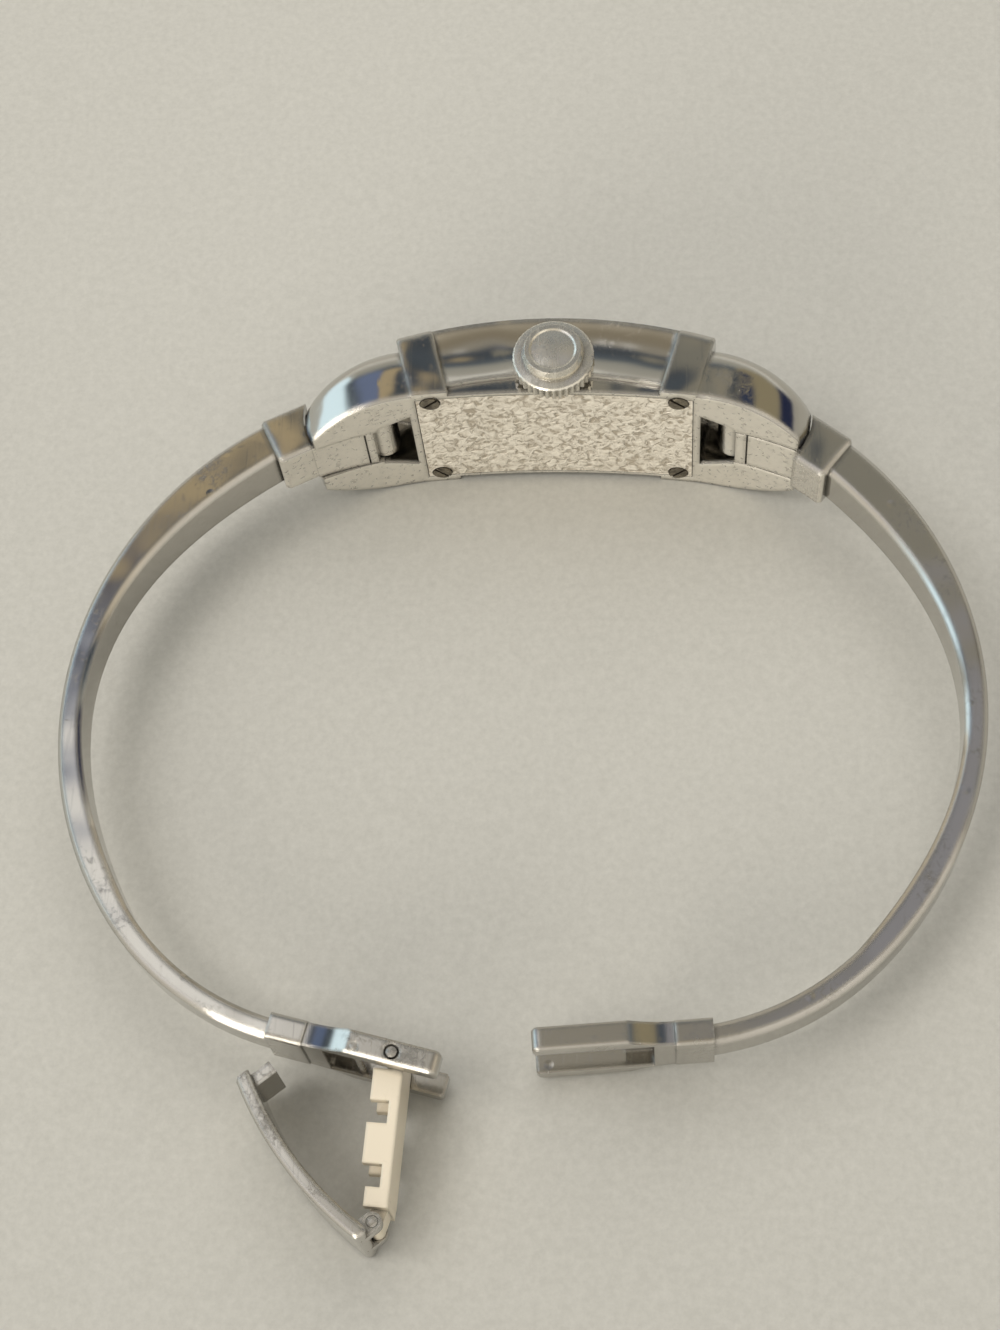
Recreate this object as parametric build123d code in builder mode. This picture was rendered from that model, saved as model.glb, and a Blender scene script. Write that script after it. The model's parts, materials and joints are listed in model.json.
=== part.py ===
from build123d import *
import math
import os

os.makedirs("parts", exist_ok=True)

# A slim bangle watch. X runs from 6 to 12 o'clock, Y from the wrist to the dial and Z out of the
# crown. It is drawn about the middle plane of the case, and at the end it is moved so that it lies
# on its 9 o'clock flank with the origin at the middle of its footprint. Lengths are in millimetres,
# angles in degrees.

# Case
back_length = 18.25
back_half = back_length / 2
back_width = 10.18
back_radius = 83.0
back_rise = 0.5
back_seat = 1.1
case_height = 5.55
front_radius = 34.0
body_margin = 0.475
body_half = back_half + body_margin
waist_half = 5.4
band_half = 5.65
crescent_height = 1.2
cove_radius = 4.0
cove_depth = 0.5
cove_level = 2.15
collar_inset = 1.375
collar_start = back_half - collar_inset
collar_width = 2.5
collar_tilt = 15.0
collar_half = 5.85
collar_proud = 0.25
collar_round = 0.65
collar_edge = 0.12
fit_gap = 0.05
seat_gap = 0.02
overrun = 6.0

# Stirrup at each end of the case
stirrup_half = 5.75
stirrup_root = 0.125
stirrup_start = back_half - stirrup_root
stirrup_straight = 1.4
stirrup_centre = stirrup_start + stirrup_straight
stirrup_reach = 7.0
stirrup_front_top = 4.5
stirrup_front_mid = 3.2
stirrup_front_end = 1.3
stirrup_back_mid = -0.78
stirrup_back_end = -2.6
stirrup_round = 2.3
stirrup_edge = 0.18
window_wall = 0.525
window_near = back_half + window_wall
window_length = 2.3
window_far = window_near + window_length
window_near_half = 3.2
window_far_half = 2.25
window_top = 3.0

# Hinge between the case and each end piece
hinge_reach = 3.0
hinge_x = stirrup_start + hinge_reach
stirrup_overhang = 5.4
stirrup_tip = hinge_x + stirrup_overhang
hinge_y = 1.0
hinge_pin_radius = 0.35
hinge_running_gap = 0.03
end_radius = 5.0
end_gap = 0.1
knuckle_radius = 1.15
tongue_width = 3.9
tongue_tip_drop = 1.9
tongue_edge_gap = 0.07
opening_range = 18.0
groove_offset = 0.75
groove_width = 0.12
groove_depth = 0.25
block_width = 4.1
block_thickness = 3.5
block_heading = -37.0
block_end_x = 18.7
block_end_y = -2.52
block_edge = 0.22
block_tail = 5.0

# Bangle arms
arm_heading = -42.0
arm_outset = 0.2
arm_head_thickness = 2.7
arm_waist_thickness = 1.5
arm_clasp_thickness = 1.3
arm_head_width = 3.6
arm_clasp_width = 2.8
arm_radius = 24.4
arm_turn = 94.0
tail_radius = 18.6
tail_turns = {"12": 34.5, "6": 41.0}
arm_edge = 0.3
arm_overlength = 3.0
clasp_socket = 0.3
rest_openings = {"12": 0.0, "6": 10.1}
flush_angles = {"12": 0.0, "6": 7.0}
head_headings = {"12": -174.4, "6": -177.0}

# Clasp heads
clasp_length = 10.5
clasp_half = 3.3
clasp_inner = 0.75
clasp_outer = 0.7
clasp_edge = 0.15
tip_round = 0.45
clasp_collar_length = 2.0
clasp_collar_half = 2.3
clasp_collar_proud = 0.1
clasp_collar_round = 0.3
neck_half = 2.2
neck_middle = 3.5
neck_middle_half = 2.5
neck_end = 4.9
channel_half = 2.15
channel_start = 3.3
channel_floor = 0.4
fork_start = 5.0
link_pin_setback = 2.9
link_pin_radius = 0.33
pin_recess_radius = 0.47
pin_recess_depth = 0.15
catch_bar_setback = 5.2
catch_bar_radius = 0.25
catch_bar_level = 0.25

# Fold-over link, with its two size notches, and the cover
link_heading = -93.0
link_swing = 86.0
link_half = 2.0
link_plate = 0.75
link_eye = 0.62
spine_outer = 0.65
spine_inner = 0.02
lug_starts = (0.7, 3.95, 7.7)
lug_ends = (2.6, 6.35, 8.85)
lug_reaches = (1.15, 1.2, 0.85)
spine_end = 8.3
cover_pin_distance = 9.7
cover_pin_level = -0.2
cover_pin_radius = 0.33
cover_eye = 0.58
link_knuckle = 0.5
cover_eye_width = 0.85
cover_half = 3.2
cover_radius = 22.0
cover_thickness = 0.9
cover_middle = 3.9
cover_level = -1.55
cover_end = -1.8
cover_edge = 0.2
cover_end_round = 0.4
cover_opening = 42.5
hook_thickness = 0.8
hook_reach = 1.3
hook_half = 1.9

# Crown, stem and tube
crown_level = 2.35
crown_radius = 2.68
crown_start = 5.95
crown_rim_height = 1.05
crown_land_rise = 0.08
crown_cap_radius = 2.02
crown_cap_rise = 0.45
crown_ring_radius = 1.55
crown_ring_rise = 0.8
crown_dome_radius = 1.42
crown_dome_step = 0.08
crown_dome_rise = 0.13
crown_edge = 0.12
flute_count = 38
flute_size = 0.24
flute_start = 2.0
diamond = 45.0
crown_bore = 1.15
crown_bore_depth = 0.55
tube_radius = 0.95
tube_bore = 0.55
tube_top = 6.35
tube_bottom = 4.3
stem_radius = 0.42
stem_start = 1.2
stem_top = 6.85
stem_groove_level = 2.3
stem_groove_width = 0.4
stem_groove_depth = 0.12
crown_gasket_thickness = 0.16
crown_gasket_height = 0.35
detent_length = 1.5
detent_thickness = 0.3

# Inside of the case
cavity_half_length = 8.4
cavity_half_width = 4.2
cavity_top = 3.84
glass_half_length = 7.1
glass_half_width = 4.2
glass_thickness = 0.8
glass_gasket = 0.2
glass_ledge = 0.4
screw_end_inset = 0.925
screw_x = back_half - screw_end_inset
screw_side_inset = 0.44
screw_z = back_width / 2 - screw_side_inset
screw_head_radius = 0.65
screw_head_height = 0.35
screw_radius = 0.33
screw_length = 1.6
screw_slot_width = 0.18
screw_slot_depth = 0.15
gasket_height = 0.3
gasket_width = 0.35
holder_wall = 0.4
plate_bottom = 2.6
plate_top = 3.0
dial_bottom = 3.6
dial_top = 3.8
dial_hole = 0.62
marker_length = 0.9
marker_width = 0.22
marker_height = 0.1
marker_inset = 0.55
battery_radius = 2.9
battery_x = -3.6
battery_bottom = 1.62
battery_height = 0.93
clamp_width = 1.2
clamp_thickness = 0.12
bridge_start = 1.2
bridge_end = 7.0
bridge_near = -3.5
bridge_far = 1.3
board_thickness = 0.2
board_near = 1.5
coil_radius = 0.45
coil_core = 0.2
coil_length = 4.4
coil_level = 1.86
coil_z = 2.6
coil_cheek = 0.3
cheek_radius = 0.5

# Hands and motion work
post_radius = 0.14
post_top = 4.3
cannon_radius = 0.3
cannon_bottom = 3.04
cannon_top = 4.42
leaf_height = 0.2
cannon_wheel_radius = 0.42
hour_wheel_radius = 1.4
hour_pipe_radius = 0.5
hour_wheel_bottom = 3.28
hour_pipe_top = 4.12
wheel_thickness = 0.15
motion_distance = 1.75
wheel_gap = 0.02
hand_thickness = 0.1
hand_fit = 0.01
hour_hand_bottom = 3.98
minute_hand_bottom = 4.28
hour_hand_length = 2.4
hand_clearance = 0.2
hour_hand_angle = 55.0
minute_hand_angle = -60.0
hand_width = 0.32
hand_tip_share = 0.4
hand_boss = 0.3

front_centre_y = back_rise + case_height - front_radius
back_centre_y = back_rise - back_radius
hinge = Vector(hinge_x, hinge_y)
sides = ("12", "6")
finished = []


def on_front(x, offset=0.0):
    return Vector(x, front_centre_y + math.sqrt((front_radius + offset) ** 2 - x**2))


def on_back(x):
    return Vector(x, back_centre_y + math.sqrt(back_radius**2 - x**2))


def along(angle, length=1.0):
    return Vector(length * math.cos(math.radians(angle)), length * math.sin(math.radians(angle)))


def follow(start, heading, radius, turn):
    """Centre and end point of an arc that leaves start along heading and turns clockwise."""
    centre = start + along(heading - 90, radius)
    return centre, centre + along(heading - turn + 90, radius)


def upright(x, z, level=0.0):
    """A plane that faces the dial, at a height above the chord of the case back."""
    return Plane(origin=(x, level, z), x_dir=(1, 0, 0), z_dir=(0, 1, 0))


def keep(piece, name):
    piece.label = name
    finished.append(piece)


def place(piece, side):
    """Turn a piece of the 12 o'clock side to its rest angle and, for 6 o'clock, mirror it."""
    turned = piece.rotate(Axis((hinge_x, hinge_y, 0), (0, 0, 1)), rest_openings[side])
    return turned.mirror(Plane.YZ) if side == "6" else turned


def place_point(point, side):
    turned = hinge + (point - hinge).rotate(Axis.Z, rest_openings[side])
    return Vector(-turned.X, turned.Y) if side == "6" else turned


# Case middle: the stirrup is made once and mirrored
stirrup_back_tip = Vector(stirrup_tip, stirrup_back_end - fit_gap)
slot_top = knuckle_radius + 2 * fit_gap
tongue_tip = hinge + Vector(math.sqrt(end_radius**2 - tongue_tip_drop**2), -tongue_tip_drop)
slot_tip = hinge + (tongue_tip - hinge).rotate(Axis.Z, opening_range)

with BuildPart() as stirrup:
    with BuildSketch():
        with BuildLine():
            front = ThreePointArc(
                (stirrup_start, stirrup_front_top + fit_gap),
                (hinge_x + knuckle_radius + fit_gap, stirrup_front_mid + back_rise),
                (stirrup_tip, stirrup_front_end),
            )
            Line(front @ 1, stirrup_back_tip)
            rear = ThreePointArc(
                stirrup_back_tip,
                (hinge_x + groove_offset, stirrup_back_mid),
                on_back(stirrup_start),
            )
            Line(rear @ 1, front @ 0)
        make_face()
        with Locations(hinge):
            Circle(end_radius, mode=Mode.INTERSECT)
    extrude(amount=stirrup_half, both=True)
    with BuildSketch(Plane.XZ):
        with Locations((stirrup_centre, 0)):
            Ellipse(stirrup_reach, stirrup_half)
        with Locations((stirrup_start, 0)):
            Rectangle(2 * (stirrup_centre - stirrup_start), 2 * stirrup_half)
    extrude(amount=overrun, both=True, mode=Mode.INTERSECT)
    rim = stirrup.faces().sort_by(Axis.Y)[-1].edges()
    rim = [e for e in rim if e.center().X > stirrup_centre - fit_gap and abs(e.center().Z) > fit_gap]
    fillet(rim, stirrup_round)
    rim = stirrup.faces().sort_by(Axis.Y)[0].edges()
    chamfer([e for e in rim if e.center().X > stirrup_centre and abs(e.center().Z) > fit_gap], stirrup_edge)
    with BuildSketch(upright(0, 0, window_top)):
        with BuildLine():
            Polyline(
                (window_near, window_near_half),
                (window_far, window_far_half),
                (window_far, -window_far_half),
                (window_near, -window_near_half),
                close=True,
            )
        make_face()
    extrude(amount=-overrun, mode=Mode.SUBTRACT)
    with BuildSketch():
        with BuildLine():
            Polyline(
                (hinge_x - slot_top, -overrun),
                (hinge_x - slot_top, hinge_y + slot_top),
                (hinge_x + knuckle_radius / 2, hinge_y + slot_top),
                (slot_tip.X, slot_tip.Y + 2 * fit_gap),
                (slot_tip.X + overrun, slot_tip.Y + 2 * fit_gap),
                (slot_tip.X + overrun, -overrun),
                close=True,
            )
        make_face()
    extrude(amount=tongue_width / 2 + tongue_edge_gap, both=True, mode=Mode.SUBTRACT)
    with BuildSketch():
        with Locations(hinge):
            Circle(hinge_pin_radius)
    extrude(amount=overrun, both=True, mode=Mode.SUBTRACT)

with BuildPart() as collar:
    with BuildSketch():
        with BuildLine():
            top = ThreePointArc(
                on_front(-collar_start - 2 * collar_width, collar_proud),
                on_front(0, collar_proud),
                on_front(collar_start + 2 * collar_width, collar_proud),
            )
            bottom = ThreePointArc(
                on_back(collar_start + 2 * collar_width),
                on_back(0),
                on_back(-collar_start - 2 * collar_width),
            )
            Line(top @ 1, bottom @ 0)
            Line(bottom @ 1, top @ 0)
        make_face()
        with Locations((collar_start + collar_width / 2, back_rise + case_height / 2)):
            Rectangle(collar_width, 2 * case_height, rotation=-collar_tilt, mode=Mode.INTERSECT)
    extrude(amount=collar_half, both=True)
    crest = collar.faces().sort_by(Axis.Y)[-1].edges()
    fillet([e for e in crest if abs(e.center().Z) > waist_half], collar_round)
    sides_of_collar = collar.faces().filter_by(lambda f: abs(f.normal_at().X) > math.cos(1))
    chamfer(sides_of_collar.edges(), collar_edge)

with BuildPart() as case_middle:
    with BuildSketch():
        with BuildLine():
            top = ThreePointArc(on_front(-body_half), on_front(0), on_front(body_half))
            bottom = ThreePointArc(on_back(body_half), on_back(0), on_back(-body_half))
            Line(top @ 1, bottom @ 0)
            Line(bottom @ 1, top @ 0)
        make_face()
    extrude(amount=band_half, both=True)
    # The polished band is a cove that follows the curve of the front
    cove_ring = crescent_height + back_rise + cove_level - front_centre_y
    for way in (1, -1):
        with BuildSketch(Plane.YZ):
            with Locations((front_centre_y + cove_ring, way * (band_half + cove_radius - cove_depth))):
                Circle(cove_radius)
        revolve(axis=Axis((0, front_centre_y, 0), (0, 0, 1)), mode=Mode.SUBTRACT)
    # Under the band the case steps in to its waist
    with BuildSketch(Plane.XY.offset(waist_half)):
        with Locations((0, front_centre_y)):
            Circle(crescent_height + back_rise - front_centre_y)
    extrude(amount=overrun, mode=Mode.SUBTRACT)
    with BuildSketch(Plane.XY.offset(-waist_half)):
        with Locations((0, front_centre_y)):
            Circle(crescent_height + back_rise - front_centre_y)
    extrude(amount=-overrun, mode=Mode.SUBTRACT)
    add(collar.part)
    add(collar.part.mirror(Plane.YZ))
    add(stirrup.part)
    add(stirrup.part.mirror(Plane.YZ))
    # Recess for the case back, room for the movement and the opening over the dial
    with BuildSketch(upright(0, 0, back_seat)):
        Rectangle(back_length + 2 * fit_gap, back_width + 2 * fit_gap)
    extrude(amount=-overrun, mode=Mode.SUBTRACT)
    with BuildSketch(upright(0, 0, cavity_top)):
        Rectangle(2 * cavity_half_length, 2 * cavity_half_width)
    extrude(amount=-overrun, mode=Mode.SUBTRACT)
    with BuildSketch(upright(0, 0, cavity_top - fit_gap)):
        Rectangle(2 * (glass_half_length - glass_ledge), 2 * (glass_half_width - glass_ledge))
    extrude(amount=overrun, mode=Mode.SUBTRACT)
    with BuildSketch():
        with Locations((0, front_centre_y)):
            Circle(front_radius + overrun)
            Circle(front_radius - glass_thickness - seat_gap, mode=Mode.SUBTRACT)
        with Locations((0, front_centre_y + front_radius)):
            Rectangle(2 * (glass_half_length + glass_gasket), overrun, mode=Mode.INTERSECT)
    extrude(amount=glass_half_width + glass_gasket, both=True, mode=Mode.SUBTRACT)
    # Seat of the crown tube and holes for the case back screws
    with BuildSketch():
        with Locations((0, crown_level)):
            Circle(tube_radius)
    extrude(amount=overrun + overrun, mode=Mode.SUBTRACT)
    for sx in (-1, 1):
        for sz in (-1, 1):
            with BuildSketch(upright(sx * screw_x, sz * screw_z, screw_length + fit_gap)):
                Circle(screw_radius + fit_gap)
            extrude(amount=-overrun, mode=Mode.SUBTRACT)
            with BuildSketch(upright(sx * screw_x, sz * screw_z, screw_head_height + fit_gap)):
                Circle(screw_head_radius + fit_gap)
            extrude(amount=-overrun, mode=Mode.SUBTRACT)
keep(case_middle.part, "case_middle")

with BuildPart() as case_back:
    with BuildSketch():
        with BuildLine():
            wrist = ThreePointArc(on_back(-back_half), on_back(0), on_back(back_half))
            Line(wrist @ 1, (back_half, back_seat))
            Line((back_half, back_seat), (-back_half, back_seat))
            Line((-back_half, back_seat), wrist @ 0)
        make_face()
    extrude(amount=back_width / 2, both=True)
    for sx in (-1, 1):
        for sz in (-1, 1):
            with BuildSketch(upright(sx * screw_x, sz * screw_z, back_seat + fit_gap)):
                Circle(screw_radius + fit_gap)
            extrude(amount=-overrun, mode=Mode.SUBTRACT)
            with BuildSketch(upright(sx * screw_x, sz * screw_z, screw_head_height + fit_gap)):
                Circle(screw_head_radius + fit_gap)
            extrude(amount=-overrun, mode=Mode.SUBTRACT)
keep(case_back.part, "case_back")

with BuildPart() as case_back_screws:
    for sx in (-1, 1):
        for sz in (-1, 1):
            with BuildSketch(upright(sx * screw_x, sz * screw_z, screw_head_height)):
                Circle(screw_head_radius)
            extrude(amount=-screw_head_height)
            with BuildSketch(upright(sx * screw_x, sz * screw_z, screw_head_height)):
                Circle(screw_radius)
            extrude(amount=screw_length - screw_head_height)
            with BuildSketch(upright(sx * screw_x, sz * screw_z, screw_slot_depth)):
                Rectangle(2 * screw_head_radius + fit_gap, screw_slot_width, rotation=diamond * sx * sz)
            extrude(amount=-overrun, mode=Mode.SUBTRACT)
keep(case_back_screws.part, "case_back_screws")

with BuildPart() as case_back_gasket:
    with BuildSketch(upright(0, 0, back_seat + seat_gap)):
        Rectangle(2 * (cavity_half_length - seat_gap), 2 * (cavity_half_width - seat_gap))
        Rectangle(
            2 * (cavity_half_length - gasket_width), 2 * (cavity_half_width - gasket_width),
            mode=Mode.SUBTRACT,
        )
    extrude(amount=gasket_height)
keep(case_back_gasket.part, "case_back_gasket")

with BuildPart() as crystal:
    with BuildSketch():
        with Locations((0, front_centre_y)):
            Circle(front_radius)
            Circle(front_radius - glass_thickness, mode=Mode.SUBTRACT)
        with Locations((0, front_centre_y + front_radius)):
            Rectangle(2 * glass_half_length - 2 * seat_gap, overrun, mode=Mode.INTERSECT)
    extrude(amount=glass_half_width - seat_gap, both=True)
keep(crystal.part, "crystal")

with BuildPart() as crystal_gasket:
    with BuildSketch():
        with Locations((0, front_centre_y)):
            Circle(front_radius - fit_gap)
            Circle(front_radius - glass_thickness, mode=Mode.SUBTRACT)
        with Locations((0, front_centre_y + front_radius)):
            Rectangle(2 * (glass_half_length + glass_gasket - seat_gap), overrun, mode=Mode.INTERSECT)
    extrude(amount=glass_half_width + glass_gasket - seat_gap, both=True)
    with BuildSketch(upright(0, 0, back_seat)):
        Rectangle(2 * glass_half_length, 2 * glass_half_width)
    extrude(amount=2 * overrun, mode=Mode.SUBTRACT)
keep(crystal_gasket.part, "crystal_gasket")

with BuildPart() as dial:
    with BuildSketch(upright(0, 0, dial_bottom)):
        Rectangle(2 * (cavity_half_length - fit_gap), 2 * (cavity_half_width - fit_gap))
        Circle(dial_hole, mode=Mode.SUBTRACT)
    extrude(amount=dial_top - dial_bottom)
keep(dial.part, "dial")

marker_x = glass_half_length - glass_ledge - marker_inset - marker_length / 2
marker_z = glass_half_width - glass_ledge - marker_inset - marker_length / 2
marker_xs = (-2 * marker_x / 3, 0, 2 * marker_x / 3)

with BuildPart() as hour_markers:
    with BuildSketch(upright(0, 0, dial_top)):
        for mx in marker_xs:
            with Locations((mx, marker_z), (mx, -marker_z)):
                Rectangle(marker_width, marker_length)
        for mz in (-marker_z / 2, 0, marker_z / 2):
            with Locations((marker_x, mz), (-marker_x, mz)):
                Rectangle(marker_length, marker_width)
    extrude(amount=marker_height)
keep(hour_markers.part, "hour_markers")

with BuildPart() as movement_holder:
    with BuildSketch(upright(0, 0, back_seat + gasket_height + 2 * seat_gap)):
        Rectangle(2 * (cavity_half_length - fit_gap), 2 * (cavity_half_width - fit_gap))
        Rectangle(
            2 * (cavity_half_length - fit_gap - holder_wall),
            2 * (cavity_half_width - fit_gap - holder_wall),
            mode=Mode.SUBTRACT,
        )
    extrude(amount=dial_bottom - back_seat - gasket_height - 3 * seat_gap)
    with BuildSketch():
        with Locations((0, crown_level)):
            Rectangle(2 * tube_radius, 2 * tube_radius)
    extrude(amount=overrun, mode=Mode.SUBTRACT)
keep(movement_holder.part, "movement_holder")

plate_half_length = cavity_half_length - holder_wall - 2 * fit_gap
plate_half_width = cavity_half_width - holder_wall - 2 * fit_gap
bridge_middle = (bridge_start + bridge_end) / 2

with BuildPart() as main_plate:
    with BuildSketch(upright(0, 0, plate_bottom)):
        Rectangle(2 * plate_half_length, 2 * plate_half_width)
    extrude(amount=plate_top - plate_bottom)
    with BuildSketch(upright(0, 0, plate_top)):
        Circle(post_radius)
    extrude(amount=post_top - plate_top)
    with BuildSketch(upright(0, -motion_distance, plate_top)):
        Circle(post_radius)
    extrude(amount=dial_bottom - plate_top - fit_gap)
    with BuildSketch(Plane.XY.offset(stem_start - fit_gap)):
        with Locations((0, crown_level)):
            Circle(stem_radius + fit_gap)
    extrude(amount=overrun, mode=Mode.SUBTRACT)
    with BuildSketch(Plane.XY.offset(stem_groove_level - fit_gap)):
        with Locations((0, crown_level)):
            Rectangle(detent_length + 2 * fit_gap, detent_length + 2 * fit_gap)
    extrude(amount=overrun, mode=Mode.SUBTRACT)
keep(main_plate.part, "main_plate")

with BuildPart() as train_bridge:
    bridge_level = back_seat + gasket_height + fit_gap
    with BuildSketch(upright(bridge_middle, (bridge_near + bridge_far) / 2, bridge_level)):
        Rectangle(bridge_end - bridge_start, bridge_far - bridge_near)
    extrude(amount=plate_bottom - back_seat - gasket_height - fit_gap - seat_gap)
    fillet(train_bridge.edges().filter_by(Axis.Y), holder_wall)
keep(train_bridge.part, "train_bridge")

with BuildPart() as circuit_board:
    board_level = plate_bottom - board_thickness - seat_gap
    with BuildSketch(upright(bridge_middle, (board_near + plate_half_width) / 2, board_level)):
        Rectangle(bridge_end - bridge_start, plate_half_width - board_near)
    extrude(amount=board_thickness)
keep(circuit_board.part, "circuit_board")

with BuildPart() as coil:
    with BuildSketch(Plane.YZ.offset(bridge_middle - coil_length / 2)):
        with Locations((coil_level, coil_z)):
            Circle(coil_radius)
    extrude(amount=coil_length)
    for end in (bridge_middle - coil_length / 2 - coil_cheek, bridge_middle + coil_length / 2):
        with BuildSketch(Plane.YZ.offset(end)):
            with Locations((coil_level, coil_z)):
                RegularPolygon(cheek_radius, 8)
        extrude(amount=coil_cheek)
keep(coil.part, "coil")

with BuildPart() as battery:
    with BuildSketch(upright(battery_x, 0, battery_bottom)):
        Circle(battery_radius)
    extrude(amount=battery_height)
    chamfer(battery.edges().group_by(Axis.Y)[0], coil_cheek / 2)
keep(battery.part, "battery")

with BuildPart() as battery_clamp:
    with BuildSketch(upright(battery_x, 0, back_seat + gasket_height + fit_gap)):
        Rectangle(clamp_width, 2 * plate_half_width)
    extrude(amount=clamp_thickness)
    for sz in (-1, 1):
        foot = sz * (plate_half_width - clamp_thickness / 2)
        with BuildSketch(upright(battery_x, foot, back_seat + gasket_height + fit_gap)):
            Rectangle(clamp_width, clamp_thickness)
        extrude(amount=plate_bottom - back_seat - gasket_height - fit_gap - seat_gap)
keep(battery_clamp.part, "battery_clamp")

# Motion work and hands, on two posts of the main plate
with BuildPart() as cannon_pinion:
    with BuildSketch(upright(0, 0, cannon_bottom)):
        Circle(cannon_wheel_radius)
    extrude(amount=leaf_height)
    with BuildSketch(upright(0, 0, cannon_bottom)):
        Circle(cannon_radius)
    extrude(amount=cannon_top - cannon_bottom)
    with BuildSketch(upright(0, 0, cannon_bottom)):
        Circle(post_radius + hinge_running_gap)
    extrude(amount=overrun, mode=Mode.SUBTRACT)
keep(cannon_pinion.part, "cannon_pinion")

with BuildPart() as hour_wheel:
    with BuildSketch(upright(0, 0, hour_wheel_bottom)):
        Circle(hour_wheel_radius)
    extrude(amount=wheel_thickness)
    with BuildSketch(upright(0, 0, hour_wheel_bottom)):
        Circle(hour_pipe_radius)
    extrude(amount=hour_pipe_top - hour_wheel_bottom)
    with BuildSketch(upright(0, 0, hour_wheel_bottom)):
        Circle(cannon_radius + hinge_running_gap)
    extrude(amount=overrun, mode=Mode.SUBTRACT)
keep(hour_wheel.part, "hour_wheel")

with BuildPart() as minute_wheel:
    with BuildSketch(upright(0, -motion_distance, cannon_bottom)):
        Circle(motion_distance - cannon_wheel_radius - wheel_gap)
    extrude(amount=leaf_height)
    with BuildSketch(upright(0, -motion_distance, cannon_bottom + leaf_height)):
        Circle(motion_distance - hour_wheel_radius - wheel_gap)
    extrude(amount=hour_wheel_bottom + wheel_thickness - cannon_bottom - leaf_height)
    with BuildSketch(upright(0, -motion_distance, cannon_bottom)):
        Circle(post_radius + hinge_running_gap)
    extrude(amount=overrun, mode=Mode.SUBTRACT)
keep(minute_wheel.part, "minute_wheel")


def hand(name, level, length, hub, heading):
    with BuildPart() as piece:
        with BuildSketch(Plane(origin=(0, level, 0), x_dir=(1, 0, 0), z_dir=(0, 1, 0))):
            with BuildLine(Plane.XY.rotated((0, 0, heading))):
                Polyline(
                    (0, hand_width / 2),
                    (length - hand_width, hand_tip_share * hand_width / 2),
                    (length, 0),
                    (length - hand_width, -hand_tip_share * hand_width / 2),
                    (0, -hand_width / 2),
                    close=True,
                )
            make_face()
            Circle(hub + hand_boss)
            Circle(hub + hand_fit, mode=Mode.SUBTRACT)
        extrude(amount=hand_thickness)
    keep(piece.part, name)


minute_hand_length = glass_half_width - glass_ledge - hand_clearance
hand("hour_hand", hour_hand_bottom, hour_hand_length, hour_pipe_radius, hour_hand_angle)
hand("minute_hand", minute_hand_bottom, minute_hand_length, cannon_radius, minute_hand_angle)

# Crown side
with BuildPart() as crown_tube:
    with BuildSketch(Plane.XY.offset(tube_bottom)):
        with Locations((0, crown_level)):
            Circle(tube_radius)
            Circle(tube_bore, mode=Mode.SUBTRACT)
    extrude(amount=tube_top - tube_bottom)
keep(crown_tube.part, "crown_tube")

rim_top = crown_start + crown_rim_height
dome_start = rim_top + crown_ring_rise - crown_dome_step
dome_ball = (crown_dome_radius**2 + crown_dome_rise**2) / (2 * crown_dome_rise)
dome_mid = math.sqrt(dome_ball**2 - (crown_dome_radius / 2) ** 2) - dome_ball + crown_dome_rise
cap_drop = crown_cap_radius - crown_ring_radius
with BuildPart() as crown:
    with BuildSketch(Plane.YZ):
        with BuildLine():
            Polyline(
                (crown_level, crown_start),
                (crown_level + crown_radius, crown_start),
                (crown_level + crown_radius, rim_top - crown_edge),
                (crown_level + crown_radius - crown_edge, rim_top),
                (crown_level + crown_cap_radius, rim_top + crown_land_rise),
                (crown_level + crown_cap_radius, rim_top + crown_cap_rise),
                (crown_level + crown_cap_radius - cap_drop / 3, rim_top + crown_ring_rise),
                (crown_level + crown_ring_radius, rim_top + crown_ring_rise),
                (crown_level + crown_dome_radius, dome_start),
            )
            dome = ThreePointArc(
                (crown_level + crown_dome_radius, dome_start),
                (crown_level + crown_dome_radius / 2, dome_start + dome_mid),
                (crown_level, dome_start + crown_dome_rise),
            )
            Line(dome @ 1, (crown_level, crown_start))
        make_face()
    revolve(axis=Axis((0, crown_level, 0), (0, 0, 1)))
    with BuildSketch(Plane.XY.offset(crown_start)):
        with Locations((0, crown_level)):
            with PolarLocations(crown_radius, flute_count, start_angle=flute_start):
                Rectangle(flute_size, flute_size, rotation=diamond)
    extrude(amount=crown_rim_height - crown_edge, mode=Mode.SUBTRACT)
    with BuildSketch(Plane.XY.offset(crown_start - fit_gap)):
        with Locations((0, crown_level)):
            Circle(crown_bore)
    extrude(amount=crown_bore_depth + fit_gap, mode=Mode.SUBTRACT)
    with BuildSketch(Plane.XY.offset(crown_start)):
        with Locations((0, crown_level)):
            Circle(stem_radius + seat_gap)
    extrude(amount=stem_top - crown_start + seat_gap, mode=Mode.SUBTRACT)
keep(crown.part, "crown")

with BuildPart() as stem:
    with BuildSketch(Plane.XY.offset(stem_start)):
        with Locations((0, crown_level)):
            Circle(stem_radius)
    extrude(amount=stem_top - stem_start)
    with BuildSketch(Plane.XY.offset(stem_groove_level)):
        with Locations((0, crown_level)):
            Circle(stem_radius + fit_gap)
            Circle(stem_radius - stem_groove_depth, mode=Mode.SUBTRACT)
    extrude(amount=stem_groove_width, mode=Mode.SUBTRACT)
keep(stem.part, "stem")

with BuildPart() as crown_gasket:
    with BuildSketch(Plane.XY.offset(crown_start + seat_gap)):
        with Locations((0, crown_level)):
            Circle(crown_bore - seat_gap)
            Circle(tube_radius + seat_gap, mode=Mode.SUBTRACT)
    extrude(amount=crown_gasket_height)
keep(crown_gasket.part, "crown_gasket")

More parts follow.
